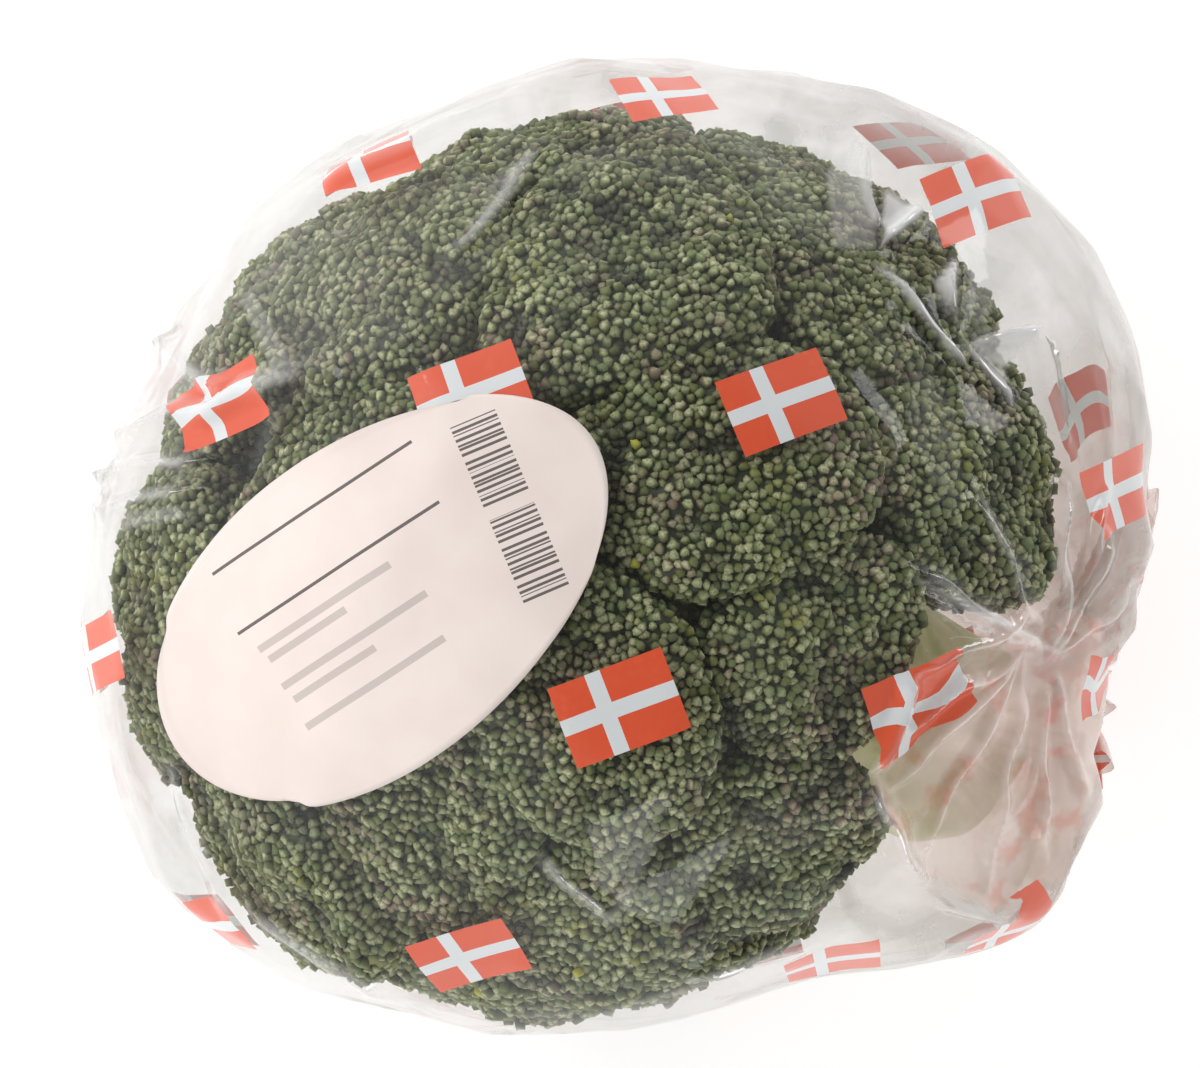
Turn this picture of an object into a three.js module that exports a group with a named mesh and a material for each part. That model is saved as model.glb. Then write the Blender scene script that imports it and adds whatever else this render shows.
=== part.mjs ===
// A broccoli head in its clear bag, lying on its side: a cut stalk, the florets that branch from
// its top, the thin film drawn together past the cut end, and an egg-shaped paper label on the film.
// Millimetres, +Z up. The origin is on the surface that the bag rests on, under the middle of the bag.

import * as THREE from 'three';
import { mergeVertices } from 'three/addons/utils/BufferGeometryUtils.js';

// The head: a crown that is a flattened ball, and its axis, which points from the cut end to the tip.
const CROWN_CENTRE = new THREE.Vector3(-3.5, -2, 61.5);
const CROWN_RADIUS = 64;
const CROWN_RISE = 62;
const AXIS_LEAN = 50;
const STALK_HEADING = -27;

// The stalk: a knob that the branches leave, a slightly tapered shaft and the flat cut.
const HUB_DROP = 14;
const HUB_RADIUS = 21;
const STALK_LENGTH = 61;
const STALK_TOP_RADIUS = 17.5;
const STALK_END_RADIUS = 15.5;
const CUT_EDGE = 1.5;

// One floret, measured outwards from the hub: its branch, and the shares of its reach where the
// branch starts to spread and where the crown is widest.
const BRANCH_RADIUS = 6.5;
const BRANCH_START = 22.5;
const SPREAD_SHARE = 0.62;
const SHOULDER_SHARE = 0.78;
const SHOULDER_RADIUS = 33;
const FLORET_GAP = 0.6;
const CLOSENESS = 12;
const FLORET_SIDES = 14;

// Where each floret points: degrees around the axis from its upper side, and degrees down from
// the tip. The last number scales how far the floret reaches.
const FLORETS = [
  [114, 22, 0.98], [-35, 20, 0.99], [170, 36, 1.01], [-128, 40, 1.06],
  [105, 50, 0.98], [60, 42, 1.01], [21, 54, 1.0], [-22, 51, 1.01], [-54, 49, 0.97], [-90, 57, 1.06],
  [58, 71, 1.02], [32, 86, 1.05], [3, 70, 0.98], [-22, 82, 0.97], [-46, 72, 0.99],
  [88, 80, 1.02], [118, 78, 0.98], [148, 68, 1.0], [-178, 72, 1.0], [-148, 74, 1.0],
  [-118, 76, 1.04], [-79, 84, 1.0],
  [165, 104, 1.0], [-160, 106, 1.0], [-124, 106, 0.97], [126, 108, 0.96], [70, 106, 1.0],
  [-72, 108, 0.9],
];

// Directions in which no floret grows, so that the florets beside them stop short of the stalk.
const BARE = [[3, 94], [-30, 108], [36, 114]];

// The film bag: its outline from above, its height and how square its shoulders are.
const BAG_OUTLINE = [
  [74.6, 4], [72, 27], [63, 46], [45, 60], [15, 67.6], [-8, 68], [-25, 62], [-42, 54], [-58, 38],
  [-67, 20], [-74.5, 2], [-74, -18], [-70, -34], [-62, -50], [-46, -60], [-25, -66.5], [-5, -68],
  [14, -64], [30, -59.5], [48, -57.5], [60, -50.5], [67, -40], [67.8, -30], [68.5, -19], [72, -9],
];
const BAG_MIDDLE = 60;
const BAG_RISE = 66.5;
const BAG_DROP = 73;
const UPPER_POWER = 2.4;
const LOWER_POWER = 2.8;
const FILM_THICKNESS = 0.5;
const FILM_CLEARANCE = 0.7;
const GATHER_HEADING = -16;
const GATHER_DIP = 22;
const GATHER_OPENING = 4;
const BAG_SIDES = 44;
const BAG_RINGS = 22;

// The label: an egg shape seen from above, stuck on the upper left of the bag.
const LABEL_CENTRE = new THREE.Vector2(-31.4, -6.7);
const LABEL_HALF_LENGTH = 35;
const LABEL_HALF_WIDTH = 21;
const LABEL_TURN = 38;
const LABEL_POINT = 0.08;
const LABEL_THICKNESS = 0.4;
const LABEL_GAP = 0.4;
const LABEL_SIDES = 40;
const LABEL_RINGS = 4;

const AXIS = new THREE.Vector3(0, 0, 1);
const bagCentre = new THREE.Vector3(0, 0, BAG_MIDDLE);

function radians(degrees) {
  return THREE.MathUtils.degToRad(degrees);
}

// A closed solid of revolution about +Z whose shared corners are merged, ready to be reshaped.
function turned(profile, sides) {
  const geometry = new THREE.LatheGeometry(profile, sides);
  geometry.rotateX(radians(90));
  geometry.deleteAttribute('normal');
  geometry.deleteAttribute('uv');
  return mergeVertices(geometry, 1e-4);
}

function reshape(geometry, move) {
  const position = geometry.getAttribute('position');
  const point = new THREE.Vector3();
  for (let i = 0; i < position.count; i += 1) {
    move(point.fromBufferAttribute(position, i));
    position.setXYZ(i, point.x, point.y, point.z);
  }
  geometry.computeVertexNormals();
  return geometry;
}

function plain(color, roughness) {
  return new THREE.MeshStandardMaterial({ color, roughness, metalness: 0 });
}

const bag = new THREE.Group();

// Film bag

const outlineCurve = new THREE.CatmullRomCurve3(
  BAG_OUTLINE.map(([x, y]) => new THREE.Vector3(x, y, 0)),
  true,
);
const outlineSamples = outlineCurve.getSpacedPoints(720).map((p) => ({
  angle: Math.atan2(p.y, p.x),
  radius: Math.hypot(p.x, p.y),
}));
outlineSamples.sort((a, b) => a.angle - b.angle);

function outlineRadius(angle) {
  const last = outlineSamples.length - 1;
  let after = outlineSamples.findIndex((sample) => sample.angle >= angle);
  if (after <= 0) {
    after = after === 0 ? 1 : last;
  }
  const low = outlineSamples[after - 1];
  const high = outlineSamples[after];
  const share = THREE.MathUtils.clamp((angle - low.angle) / (high.angle - low.angle), 0, 1);
  return THREE.MathUtils.lerp(low.radius, high.radius, share);
}

// Distance from the bag's centre to its surface, moved in by inset: a rounded form over the
// outline, cut off flat where it meets the surface it lies on.
function bagRadius(direction, inset) {
  const upper = direction.z > 0;
  const power = upper ? UPPER_POWER : LOWER_POWER;
  const height = (upper ? BAG_RISE : BAG_DROP) - inset;
  const width = outlineRadius(Math.atan2(direction.y, direction.x)) - inset;
  const across = Math.hypot(direction.x, direction.y) / width;
  const rounded = (across ** power + (Math.abs(direction.z) / height) ** power) ** (-1 / power);
  const flat = upper ? Infinity : (BAG_MIDDLE - inset) / Math.abs(direction.z);
  return Math.min(rounded, flat);
}

function buildFilm() {
  const gather = new THREE.Vector3(
    Math.cos(radians(GATHER_HEADING)),
    Math.sin(radians(GATHER_HEADING)),
    -Math.tan(radians(GATHER_DIP)),
  ).normalize();
  const toGather = new THREE.Quaternion().setFromUnitVectors(AXIS, gather);
  const outer = [];
  for (let ring = 0; ring <= BAG_RINGS; ring += 1) {
    const polar = radians(THREE.MathUtils.lerp(180, GATHER_OPENING, ring / BAG_RINGS));
    outer.push(new THREE.Vector2(Math.sin(polar), Math.cos(polar)));
  }
  outer[0].x = 0;
  const inner = outer.map((p) => p.clone().multiplyScalar(0.5)).reverse();
  const geometry = reshape(turned([...outer, ...inner], BAG_SIDES), (point) => {
    const inset = point.length() > 0.75 ? 0 : FILM_THICKNESS;
    const direction = point.clone().normalize().applyQuaternion(toGather);
    point.copy(direction).multiplyScalar(bagRadius(direction, inset)).add(bagCentre);
  });
  const mesh = new THREE.Mesh(geometry, plain(0xe6e4e3, 0.15));
  mesh.name = 'film_wrap';
  return mesh;
}

bag.add(buildFilm());

// Paper label

function onBag(x, y, lift) {
  const width = outlineRadius(Math.atan2(y, x));
  const share = Math.min(Math.hypot(x, y) / width, 1);
  const height = BAG_RISE * (1 - share ** UPPER_POWER) ** (1 / UPPER_POWER);
  const direction = new THREE.Vector3(x, y, height).normalize();
  return direction.multiplyScalar(bagRadius(direction, 0) + lift).add(bagCentre);
}

function buildLabel() {
  const profile = [];
  for (let ring = 0; ring <= LABEL_RINGS; ring += 1) {
    profile.push(new THREE.Vector2(ring / LABEL_RINGS, 0));
  }
  for (let ring = LABEL_RINGS; ring >= 0; ring -= 1) {
    profile.push(new THREE.Vector2(ring / LABEL_RINGS, 1));
  }
  const centre = new THREE.Vector2();
  const geometry = reshape(turned(profile, LABEL_SIDES), (point) => {
    const spread = 1 - LABEL_POINT * point.x;
    const place = new THREE.Vector2(point.x * LABEL_HALF_LENGTH, point.y * LABEL_HALF_WIDTH * spread);
    place.rotateAround(centre, radians(LABEL_TURN)).add(LABEL_CENTRE);
    const lift = LABEL_GAP + LABEL_THICKNESS * Math.abs(point.z);
    point.copy(onBag(place.x, place.y, lift));
  });
  const mesh = new THREE.Mesh(geometry, plain(0xefe0d9, 0.85));
  mesh.name = 'paper_label';
  return mesh;
}

bag.add(buildLabel());

// Head: everything below is in its own frame, with +Z to the tip and +X to the upper side

const head = new THREE.Group();
head.position.copy(CROWN_CENTRE);
head.rotation.set(0, -radians(AXIS_LEAN), radians(STALK_HEADING), 'ZYX');
head.updateMatrixWorld();
bag.add(head);

const hub = new THREE.Vector3(0, 0, -HUB_DROP);
const hubInBag = hub.clone().applyMatrix4(head.matrixWorld);

function buildStalk() {
  const profile = [
    new THREE.Vector2(0, -STALK_LENGTH),
    new THREE.Vector2(STALK_END_RADIUS - CUT_EDGE, -STALK_LENGTH),
    new THREE.Vector2(STALK_END_RADIUS, -STALK_LENGTH + CUT_EDGE),
    new THREE.Vector2(STALK_TOP_RADIUS, -HUB_RADIUS * 1.4),
  ];
  const swell = new THREE.EllipseCurve(0, 0, HUB_RADIUS, HUB_RADIUS, -radians(25), radians(90));
  profile.push(...swell.getPoints(8));
  profile[profile.length - 1].x = 0;
  const mesh = new THREE.Mesh(turned(profile, 24), plain(0xa9b97c, 0.6));
  mesh.geometry.computeVertexNormals();
  mesh.position.copy(hub);
  mesh.name = 'stalk';
  return mesh;
}

head.add(buildStalk());

function pointing([around, down]) {
  return new THREE.Vector3().setFromSphericalCoords(1, radians(down), radians(90 + around))
    .applyAxisAngle(new THREE.Vector3(1, 0, 0), radians(90));
}

// How far the crown's surface is from the hub in one direction.
function crownReach(direction) {
  const across = (1 - direction.z ** 2) / CROWN_RADIUS ** 2;
  const along = direction.z ** 2 / CROWN_RISE ** 2;
  const a = across + along;
  const b = (-2 * direction.z * HUB_DROP) / CROWN_RISE ** 2;
  const c = HUB_DROP ** 2 / CROWN_RISE ** 2 - 1;
  return (-b + Math.sqrt(b * b - 4 * a * c)) / (2 * a);
}

const directions = FLORETS.map(pointing);
const bareDirections = BARE.map(pointing);

// A branch that spreads into a rounded crown of buds. It is pressed flat where its neighbours
// crowd it, and drawn in where the film holds it.
function buildFloret(direction, scale, name) {
  const reach = crownReach(direction) * scale;
  const spread = reach * SPREAD_SHARE;
  const shoulder = reach * SHOULDER_SHARE;
  const profile = [new THREE.Vector2(0, BRANCH_START), new THREE.Vector2(BRANCH_RADIUS, BRANCH_START)];
  for (let step = 0; step <= 3; step += 1) {
    const share = step / 3;
    const radius = THREE.MathUtils.lerp(BRANCH_RADIUS, SHOULDER_RADIUS, share ** 1.5);
    profile.push(new THREE.Vector2(radius, THREE.MathUtils.lerp(spread, shoulder, share)));
  }
  for (let turn = 18; turn <= 90; turn += 18) {
    const height = shoulder + (reach - shoulder) * Math.sin(radians(turn));
    profile.push(new THREE.Vector2(SHOULDER_RADIUS * Math.cos(radians(turn)), height));
  }
  profile[profile.length - 1].x = 0;

  const toDirection = new THREE.Quaternion().setFromUnitVectors(AXIS, direction);
  const toAxis = toDirection.clone().invert();
  const walls = [...directions, ...bareDirections]
    .filter((other) => other !== direction)
    .map((other) => other.clone().sub(direction).normalize().applyQuaternion(toAxis));

  const geometry = reshape(turned(profile, FLORET_SIDES), (point) => {
    const radius = Math.hypot(point.x, point.y);
    if (radius > 0) {
      const out = new THREE.Vector2(point.x, point.y).divideScalar(radius);
      let crowding = radius ** -CLOSENESS;
      for (const wall of walls) {
        const slope = out.x * wall.x + out.y * wall.y;
        if (slope > 0) {
          const room = (-FLORET_GAP / 2 - point.z * wall.z) / slope;
          crowding += Math.max(room, 0.1) ** -CLOSENESS;
        }
      }
      const pressed = crowding ** (-1 / CLOSENESS);
      point.x = out.x * pressed;
      point.y = out.y * pressed;
    }
    const inHead = point.clone().applyQuaternion(toDirection).add(hub);
    const inBag = inHead.applyMatrix4(head.matrixWorld);
    let keep = 1;
    for (let pass = 0; pass < 4; pass += 1) {
      const fromCentre = inBag.clone().sub(hubInBag).multiplyScalar(keep).add(hubInBag).sub(bagCentre);
      const distance = fromCentre.length();
      const limit = bagRadius(fromCentre.divideScalar(distance), FILM_THICKNESS + FILM_CLEARANCE);
      keep *= Math.min(1, limit / distance);
    }
    point.multiplyScalar(keep);
  });
  const mesh = new THREE.Mesh(geometry, plain(0x5e6b55, 0.9));
  mesh.position.copy(hub);
  mesh.quaternion.copy(toDirection);
  mesh.name = name;
  return mesh;
}

directions.forEach((direction, index) => {
  const name = `floret_${String(index + 1).padStart(2, '0')}`;
  head.add(buildFloret(direction, FLORETS[index][2], name));
});

// The origin goes under the middle of the bag, on the surface it rests on.
const box = new THREE.Box3().setFromObject(bag, true);
bag.position.set(-(box.min.x + box.max.x) / 2, -(box.min.y + box.max.y) / 2, -box.min.z);

export default bag;
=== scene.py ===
"""A broccoli head in its printed film bag, lying on its side on a pale surface."""
import math
import random

import bmesh
import bpy
from mathutils import Matrix, Vector, noise
from mathutils.bvhtree import BVHTree


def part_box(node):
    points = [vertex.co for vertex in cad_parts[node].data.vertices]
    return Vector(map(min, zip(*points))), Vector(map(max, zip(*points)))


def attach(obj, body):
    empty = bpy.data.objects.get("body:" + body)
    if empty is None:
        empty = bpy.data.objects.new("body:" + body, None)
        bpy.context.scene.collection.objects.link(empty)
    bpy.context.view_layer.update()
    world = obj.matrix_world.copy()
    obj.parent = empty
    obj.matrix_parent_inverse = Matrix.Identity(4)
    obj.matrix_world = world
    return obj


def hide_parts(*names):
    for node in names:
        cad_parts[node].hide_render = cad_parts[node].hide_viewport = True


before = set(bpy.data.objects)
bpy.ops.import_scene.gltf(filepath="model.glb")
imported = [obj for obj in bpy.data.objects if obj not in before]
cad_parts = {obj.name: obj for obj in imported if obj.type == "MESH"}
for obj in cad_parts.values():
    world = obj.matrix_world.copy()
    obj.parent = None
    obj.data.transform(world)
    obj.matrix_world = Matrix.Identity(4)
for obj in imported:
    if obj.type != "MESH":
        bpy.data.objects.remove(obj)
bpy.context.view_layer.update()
MM = 0.001

# ---------------------------------------------------------------------------------------------
# Flower buds. Each is a closed green bud about 1.5 mm across, longer than wide, with sepals that
# meet in a small hollow at the tip. They grow tight together, tens of thousands to a head, and
# this one bud stands in for them all. Their bases and the creases between lumps are painted dark
# as shade, and their tips carry a pale wax bloom with a painted highlight.

BUD_WIDTH = 1.5 * MM
BUD_LENGTH = 2.0 * MM
BUD_SIDES = 6
# Painted shade: near-black green for the bud bases and the creases between lumps, where shade falls.
BUD_PAINTED_SHADE = (0.008, 0.011, 0.004, 1)
BUD_OLIVE = (0.098, 0.118, 0.022, 1)
BUD_GREEN = (0.155, 0.192, 0.072, 1)
BUD_LIME = (0.22, 0.23, 0.032, 1)
# Pale wax bloom with a painted highlight, for the bud tips.
BUD_BLOOM_AND_HIGHLIGHT = (0.58, 0.60, 0.36, 1)
BUD_BROWN = (0.21, 0.145, 0.105, 1)
BUD_YELLOW = (0.42, 0.42, 0.05, 1)


def add_node(tree, kind, inputs=None, **settings):
    """A shader or geometry node, its sockets linked or set by name or number."""
    node = tree.nodes.new(kind)
    for name, value in settings.items():
        setattr(node, name, value)
    for key, value in (inputs or {}).items():
        if isinstance(value, bpy.types.NodeSocket):
            tree.links.new(value, node.inputs[key])
        else:
            node.inputs[key].default_value = value
    return node


def new_material(name):
    material = bpy.data.materials.new(name)
    material.use_nodes = True
    material.node_tree.nodes.clear()
    return material, material.node_tree


def finish_material(tree, surface):
    add_node(tree, "ShaderNodeOutputMaterial", {"Surface": surface.outputs[0]})


def blend_colours(tree, share, low, high):
    """The low colour where share is 0, the high one where it is 1."""
    node = add_node(tree, "ShaderNodeMix", {0: share, 6: low, 7: high}, data_type="RGBA")
    return node.outputs[2]


def rise_between(tree, value, low, high):
    """0 up to low, 1 from high on, and a soft step between them."""
    node = add_node(tree, "ShaderNodeMapRange", {"Value": value, "From Min": low, "From Max": high},
                    interpolation_type="SMOOTHSTEP")
    return node.outputs["Result"]


def maths(tree, operation, *values):
    return add_node(tree, "ShaderNodeMath", dict(enumerate(values)), operation=operation).outputs[0]


def object_place(tree):
    return add_node(tree, "ShaderNodeTexCoord").outputs["Object"]


def noise_at(tree, place, scale, detail):
    node = add_node(tree, "ShaderNodeTexNoise", {"Vector": place, "Scale": scale, "Detail": detail})
    return node.outputs["Fac"]


def attribute(tree, name):
    return add_node(tree, "ShaderNodeAttribute", attribute_name=name).outputs["Fac"]


def make_bud_material():
    material, tree = new_material("broccoli_buds")
    place = object_place(tree)
    tint = attribute(tree, "tint")
    tip = attribute(tree, "tip")
    patches = noise_at(tree, place, 75.0, 3.0)
    grain = noise_at(tree, place, 2600.0, 2.0)
    flesh = blend_colours(tree, rise_between(tree, tint, 0.0, 0.7), BUD_OLIVE, BUD_GREEN)
    brown = maths(tree, "MULTIPLY", rise_between(tree, patches, 0.48, 0.66),
                  rise_between(tree, maths(tree, "FRACT", maths(tree, "MULTIPLY", tint, 7.3)), 0.3, 0.8))
    flesh = blend_colours(tree, brown, flesh, BUD_BROWN)
    lime = maths(tree, "MULTIPLY", rise_between(tree, patches, 0.46, 0.3),
                 rise_between(tree, maths(tree, "FRACT", maths(tree, "MULTIPLY", tint, 5.1)), 0.3, 0.9))
    flesh = blend_colours(tree, lime, flesh, BUD_LIME)
    # Painted shade: each bud darkens from its tip down to its base, where its neighbours shade it.
    shade = blend_colours(tree, rise_between(tree, tip, 0.22, 0.8), BUD_PAINTED_SHADE, flesh)
    # Pale wax bloom and a painted highlight on the tip of each bud, broken up by the grain.
    bloom_and_highlight = maths(tree, "MULTIPLY", rise_between(tree, tip, 0.72, 1.0),
                  rise_between(tree, maths(tree, "FRACT", maths(tree, "MULTIPLY", tint, 3.7)), -0.1, 1.0))
    bloom_and_highlight = maths(tree, "MULTIPLY", bloom_and_highlight, rise_between(tree, grain, 0.2, 0.62))
    shade = blend_colours(tree, bloom_and_highlight, shade, BUD_BLOOM_AND_HIGHLIGHT)
    # Painted shade: buds low in the creases between lumps are darkened towards near-black.
    crease = maths(tree, "MULTIPLY", rise_between(tree, attribute(tree, "relief"), 0.5, 0.05), 0.85)
    shade = blend_colours(tree, crease, shade, BUD_PAINTED_SHADE)
    shade = blend_colours(tree, rise_between(tree, tint, 0.9990, 0.9994), shade, BUD_YELLOW)
    relief = add_node(tree, "ShaderNodeBump", {"Height": grain, "Strength": 0.3, "Distance": 0.1 * MM})
    finish_material(tree, add_node(tree, "ShaderNodeBsdfPrincipled", {
        "Base Color": shade, "Roughness": 0.55, "Specular IOR Level": 0.4, "Normal": relief.outputs[0]}))
    return material


def make_bud():
    """One bud on the origin with its tip along +Z. The tip attribute runs from 0 to 1 up it."""
    bm = bmesh.new()
    bmesh.ops.create_uvsphere(bm, u_segments=BUD_SIDES, v_segments=4, radius=0.5)
    tip_layer = bm.verts.layers.float.new("tip")
    for vert in bm.verts:
        vert[tip_layer] = vert.co.z + 0.5
    tip = max(bm.verts, key=lambda vert: vert.co.z)
    collar = sorted((edge.other_vert(tip) for edge in tip.link_edges),
                    key=lambda vert: math.atan2(vert.co.y, vert.co.x))
    bmesh.ops.translate(bm, vec=(0, 0, -0.09), verts=[tip])
    bmesh.ops.scale(bm, vec=(1.3, 1.3, 1.12), verts=collar[::2])
    bmesh.ops.scale(bm, vec=(BUD_WIDTH, BUD_WIDTH, BUD_LENGTH), verts=bm.verts)
    mesh = bpy.data.meshes.new("bud")
    bm.to_mesh(mesh)
    bm.free()
    mesh.materials.append(make_bud_material())
    mesh.shade_smooth()
    return bpy.data.objects.new("bud", mesh)


bud = make_bud()

# ---------------------------------------------------------------------------------------------
# Florets. Each is a pale green branch that forks again and again and ends in a dome of buds. The
# buds sit in clusters of a few, the clusters in lumps, and the lumps side by side in the dome,
# which is pressed flat where the next floret crowds it. Between the buds the crown is painted a
# dark green as shade.

LUMPS = [(15 * MM, 1.7 * MM), (7.5 * MM, 1.4 * MM), (3.6 * MM, 1.0 * MM)]
CROWN_SINK = 4.0 * MM
VALLEY_FILL = 0.5
VALLEY_MOST = 3.5 * MM
BUD_SPACING = 1.02 * MM
BUD_DENSITY = 6e6
CROWN_FROM = 0.70
CROWN_FULL = 0.79
HUB_RADIUS = 21 * MM
FLUTE_RISE = 1.4 * MM
# Painted shade: the buds' green darkened, for the crown's surface seen deep in the gaps between buds.
CROWN_GREEN_PAINTED_SHADE = (0.030, 0.042, 0.014, 1)
BRANCH_PALE = (0.52, 0.54, 0.24, 1)
BRANCH_GREEN = (0.27, 0.33, 0.10, 1)


def make_branch_material():
    material, tree = new_material("broccoli_branch")
    mottle = noise_at(tree, object_place(tree), 260.0, 4.0)
    shade = blend_colours(tree, rise_between(tree, mottle, 0.35, 0.7), BRANCH_PALE, BRANCH_GREEN)
    # Painted shade: the crown under the buds takes a dark green, as of buds lower down in shade.
    shade = blend_colours(tree, rise_between(tree, attribute(tree, "crown"), 0.0, 0.5), shade, CROWN_GREEN_PAINTED_SHADE)
    relief = add_node(tree, "ShaderNodeBump", {"Height": mottle, "Strength": 0.4, "Distance": 0.5 * MM})
    finish_material(tree, add_node(tree, "ShaderNodeBsdfPrincipled", {
        "Base Color": shade, "Roughness": 0.5, "Normal": relief.outputs[0]}))
    return material


def lump_rise(place, size, rise):
    """Rounded bumps of one size packed side by side, with creases between them."""
    nearest = noise.voronoi(place / size)[0][0]
    return rise * (1 - min(nearest / 0.75, 1) ** 2)


def soft_step(value, low, high):
    share = min(max((value - low) / (high - low), 0), 1)
    return share * share * (3 - 2 * share)


def make_bud_scatter():
    """Geometry nodes that cover the crown of a floret with buds, each with a tint of its own."""
    tree = bpy.data.node_groups.new("bud_scatter", "GeometryNodeTree")
    tree.interface.new_socket("Geometry", in_out="INPUT", socket_type="NodeSocketGeometry")
    tree.interface.new_socket("Seed", in_out="INPUT", socket_type="NodeSocketInt")
    tree.interface.new_socket("Geometry", in_out="OUTPUT", socket_type="NodeSocketGeometry")
    given = add_node(tree, "NodeGroupInput").outputs
    crown = add_node(tree, "GeometryNodeInputNamedAttribute", {"Name": "crown"}, data_type="FLOAT")
    points = add_node(tree, "GeometryNodeDistributePointsOnFaces", {
        "Mesh": given["Geometry"], "Distance Min": BUD_SPACING, "Density Max": BUD_DENSITY,
        "Density Factor": crown.outputs["Attribute"], "Seed": given["Seed"]},
        distribute_method="POISSON")
    size = add_node(tree, "FunctionNodeRandomValue", {
        0: (0.82, 0.82, 0.85), 1: (1.3, 1.3, 1.3), "Seed": 11}, data_type="FLOAT_VECTOR")
    spin = add_node(tree, "FunctionNodeRandomValue", {
        0: (-0.4, -0.4, 0.0), 1: (0.4, 0.4, 2 * math.pi), "Seed": 5}, data_type="FLOAT_VECTOR")
    height = add_node(tree, "FunctionNodeRandomValue", {
        0: (0.0, 0.0, -0.6 * MM), 1: (0.0, 0.0, 0.4 * MM), "Seed": 17}, data_type="FLOAT_VECTOR")
    turn = add_node(tree, "FunctionNodeRotateRotation", {
        "Rotation": points.outputs["Rotation"], "Rotate By": spin.outputs[0]}, rotation_space="LOCAL")
    shape = add_node(tree, "GeometryNodeObjectInfo", {"Object": bud}, transform_space="ORIGINAL")
    buds = add_node(tree, "GeometryNodeInstanceOnPoints", {
        "Points": points.outputs["Points"], "Instance": shape.outputs["Geometry"],
        "Rotation": turn.outputs[0], "Scale": size.outputs[0]})
    buds = add_node(tree, "GeometryNodeTranslateInstances", {0: buds.outputs[0], "Translation": height.outputs[0]})
    tint = add_node(tree, "FunctionNodeRandomValue", {2: 0.0, 3: 1.0, "Seed": 29}, data_type="FLOAT")
    tinted = add_node(tree, "GeometryNodeStoreNamedAttribute", {
        "Geometry": buds.outputs[0], "Name": "tint", "Value": tint.outputs[1]},
        data_type="FLOAT", domain="INSTANCE")
    real = add_node(tree, "GeometryNodeRealizeInstances", {0: tinted.outputs[0]})
    both = add_node(tree, "GeometryNodeJoinGeometry", {0: given["Geometry"]})
    tree.links.new(real.outputs[0], both.inputs[0])
    add_node(tree, "NodeGroupOutput", {0: both.outputs[0]})
    return tree


def apply_modifiers(piece):
    bpy.context.view_layer.update()
    graph = bpy.context.evaluated_depsgraph_get()
    mesh = bpy.data.meshes.new_from_object(piece.evaluated_get(graph))
    piece.modifiers.clear()
    plain = piece.data
    piece.data = mesh
    bpy.data.meshes.remove(plain)


def new_piece(name, bm, material):
    mesh = bpy.data.meshes.new(name)
    bm.to_mesh(mesh)
    bm.free()
    mesh.shade_smooth()
    mesh.materials.append(material)
    piece = bpy.data.objects.new(name, mesh)
    bpy.context.collection.objects.link(piece)
    return piece


def relax(bm, rounds):
    for _ in range(rounds):
        bmesh.ops.smooth_vert(bm, verts=bm.verts, factor=0.5,
                              use_axis_x=True, use_axis_y=True, use_axis_z=True)


def nodes_bmesh(names):
    bm = bmesh.new()
    for name in names:
        bm.from_mesh(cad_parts[name].data)
    return bm


def skin_tree():
    """Ray-cast tree of the tightest skin round the head and its stalk."""
    bm = nodes_bmesh(floret_nodes + ["stalk"])
    hull = bmesh.ops.convex_hull(bm, input=bm.verts)
    inside = [item for item in hull["geom_interior"] if isinstance(item, bmesh.types.BMVert)]
    skin = set(hull["geom"])
    old = [face for face in bm.faces if face not in skin]
    bmesh.ops.delete(bm, geom=old, context="FACES_ONLY")
    bmesh.ops.delete(bm, geom=inside, context="VERTS")
    return BVHTree.FromBMesh(bm)


def reach_of(tree, middle, way):
    """How far a surface is from a point in one direction."""
    place = tree.ray_cast(middle + way * 0.3, -way)[0]
    return (place - middle).length


def make_floret(node_name, seed):
    bm = bmesh.new()
    bm.from_mesh(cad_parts[node_name].data)
    bmesh.ops.remove_doubles(bm, verts=bm.verts, dist=0.01 * MM)
    bmesh.ops.subdivide_edges(bm, edges=bm.edges, cuts=4, use_grid_fill=True)
    relax(bm, 8)
    crown_layer = bm.verts.layers.float.new("crown")
    relief_layer = bm.verts.layers.float.new("relief")
    reach = max((vert.co - hub).length for vert in bm.verts)
    for vert in bm.verts:
        outward = vert.co - hub
        crown = soft_step(outward.length / reach, CROWN_FROM, CROWN_FULL)
        vert[crown_layer] = crown
        lumps = [lump_rise(vert.co, size, height) for size, height in LUMPS]
        # Relief of the two smaller lump sizes; the bud material paints shade into the creases from it.
        vert[relief_layer] = sum(lumps[1:]) / sum(height for _, height in LUMPS[1:])
        rise = sum(lumps) - CROWN_SINK
        if crown > 0:
            valley = reach_of(tight_skin, hub, outward.normalized()) - outward.length
            rise += min(valley * VALLEY_FILL, VALLEY_MOST)
        flute = noise.noise(outward.normalized() * 16) * FLUTE_RISE * (1 - crown)
        vert.co += outward.normalized() * rise * crown + vert.normal * flute
    floret = new_piece(node_name + "_buds", bm, branch_material)
    scatter = floret.modifiers.new("buds", "NODES")
    scatter.node_group = bud_scatter
    scatter[bud_scatter.interface.items_tree["Seed"].identifier] = seed
    apply_modifiers(floret)
    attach(floret, "root")
    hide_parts(node_name)


stalk_low, stalk_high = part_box("stalk")
hub = Vector((stalk_low.x + HUB_RADIUS, stalk_high.y - HUB_RADIUS, stalk_high.z - HUB_RADIUS))
branch_material = make_branch_material()
bud_scatter = make_bud_scatter()
floret_nodes = [name for name in sorted(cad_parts) if name.startswith("floret_")]
tight_skin = skin_tree()
for seed, node_name in enumerate(floret_nodes):
    make_floret(node_name, seed)

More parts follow.
